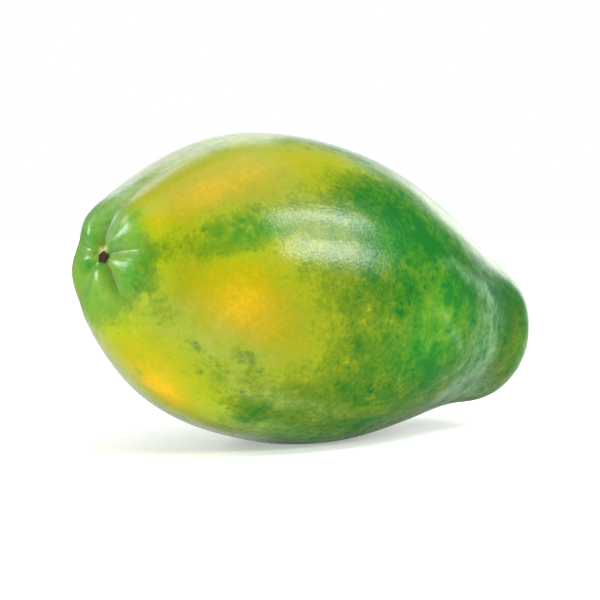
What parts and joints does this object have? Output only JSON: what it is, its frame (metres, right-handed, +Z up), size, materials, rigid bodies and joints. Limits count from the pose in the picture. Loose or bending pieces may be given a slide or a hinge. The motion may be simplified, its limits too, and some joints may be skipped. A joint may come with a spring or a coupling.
{
  "type": "papaya",
  "caption": "Whole pear-shaped papaya lying on its belly, with furrowed blossom end, neck and cut stalk, green turning gold.",
  "frame": {"origin": "centre of the small flat spot on the belly that the fruit rests on", "axes": "+X along the fruit on the floor, from the blossom end to the neck; +Y to its back; +Z up"},
  "size_m": [0.1818, 0.1081, 0.1093],
  "materials": {
    "rind": "waxy fruit skin, green ripening to gold, satin gloss"
  },
  "bodies": {
    "root": {"papaya": "rind"}
  },
  "joints": []
}
